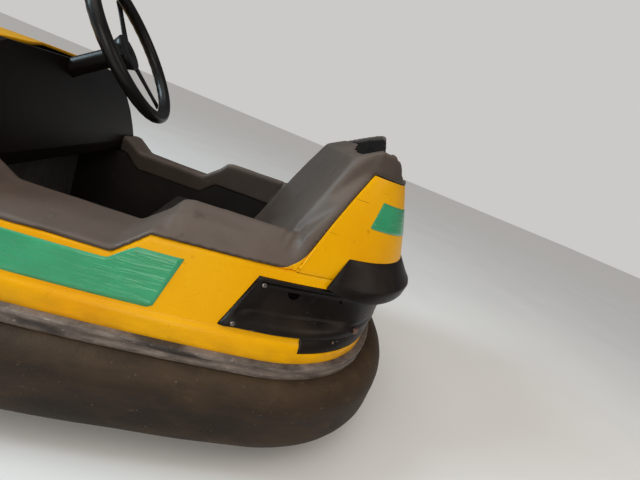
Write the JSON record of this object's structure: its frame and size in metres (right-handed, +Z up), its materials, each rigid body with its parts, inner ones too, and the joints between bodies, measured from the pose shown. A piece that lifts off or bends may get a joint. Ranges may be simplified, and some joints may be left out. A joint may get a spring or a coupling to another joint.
{
  "type": "bumper car",
  "caption": "Two-seat fairground bumper car with a rubber ring, yellow shell, padded cockpit, missing tail lamps and a full-circle front drive unit.",
  "frame": {"origin": "on the floor, under the centre of the rubber ring", "axes": "+X forward, +Y to the left, +Z up"},
  "size_m": [1.924, 1.2, 0.8995],
  "materials": {
    "shell_yellow": "glossy moulded, worn and scratched",
    "pad_grey": "soft grained cover, dusty",
    "black_plastic": "satin moulded, scratched",
    "bumper_rubber": "dusty, scuffed",
    "rail_metal": "worn grey paint over metal",
    "frame_steel": "painted, some rust",
    "cockpit_dark": "matt",
    "floor_metal": "scuffed",
    "wheel_black": "glossy, hand-worn",
    "tyre_rubber": "dusty",
    "wheel_steel": "grey paint",
    "lamp_rim": "polished",
    "lamp_glass": "clear"
  },
  "bodies": {
    "body": {"bumper_tube": "bumper_rubber", "bumper_rail": "rail_metal", "steel_ring": "frame_steel", "chassis_frame": "frame_steel", "rear_axle": "frame_steel", "head_bearing": "frame_steel", "lower_shell": "shell_yellow", "tail_shell": "shell_yellow", "nose_shell": "shell_yellow", "tail_housing": "black_plastic", "tail_lip": "black_plastic", "backrest_cap": "pad_grey", "backrest_pad": "pad_grey", "arm_pad_left": "pad_grey", "arm_pad_right": "pad_grey", "liner_left": "cockpit_dark", "liner_right": "cockpit_dark", "floor_pan": "floor_metal", "seat_box": "cockpit_dark", "seat_cushion": "pad_grey", "dashboard": "black_plastic", "head_lamp_left": "lamp_rim", "head_lamp_right": "lamp_rim", "lamp_lens_left": "lamp_glass", "lamp_lens_right": "lamp_glass", "column_tube": "black_plastic", "column_bracket": "frame_steel", "pedal": "frame_steel"},
    "steering_wheel": {"steering_rim": "wheel_black", "steering_spider": "wheel_black", "steering_shaft": "frame_steel"},
    "drive_unit": {"drive_fork": "frame_steel", "drive_motor": "frame_steel"},
    "drive_wheel": {"drive_rim": "wheel_steel", "drive_tyre": "tyre_rubber"},
    "rear_wheel_left": {"rear_rim_left": "wheel_steel", "rear_tyre_left": "tyre_rubber"},
    "rear_wheel_right": {"rear_rim_right": "wheel_steel", "rear_tyre_right": "tyre_rubber"}
  },
  "joints": [
    {"name": "steering", "type": "hinge", "parent": "body", "child": "drive_unit", "pos_m": [0.5, 0, 0.2], "axis": [0, 0, 1], "continuous": true},
    {"name": "steering_wheel_turn", "type": "hinge", "parent": "body", "child": "steering_wheel", "pos_m": [0.04, 0, 0.738], "axis": [-0.809, 0, 0.5878], "continuous": true},
    {"name": "drive_wheel_spin", "type": "hinge", "parent": "drive_unit", "child": "drive_wheel", "pos_m": [0.5, 0, 0.1], "axis": [0, 1, 0], "continuous": true},
    {"name": "rear_wheel_left_spin", "type": "hinge", "parent": "body", "child": "rear_wheel_left", "pos_m": [-0.54, 0.305, 0.1], "axis": [0, 1, 0], "continuous": true},
    {"name": "rear_wheel_right_spin", "type": "hinge", "parent": "body", "child": "rear_wheel_right", "pos_m": [-0.54, -0.305, 0.1], "axis": [0, 1, 0], "continuous": true}
  ],
  "couplings": [
    {"joint": "steering_wheel_turn", "follows": "steering", "ratio": 1}
  ]
}
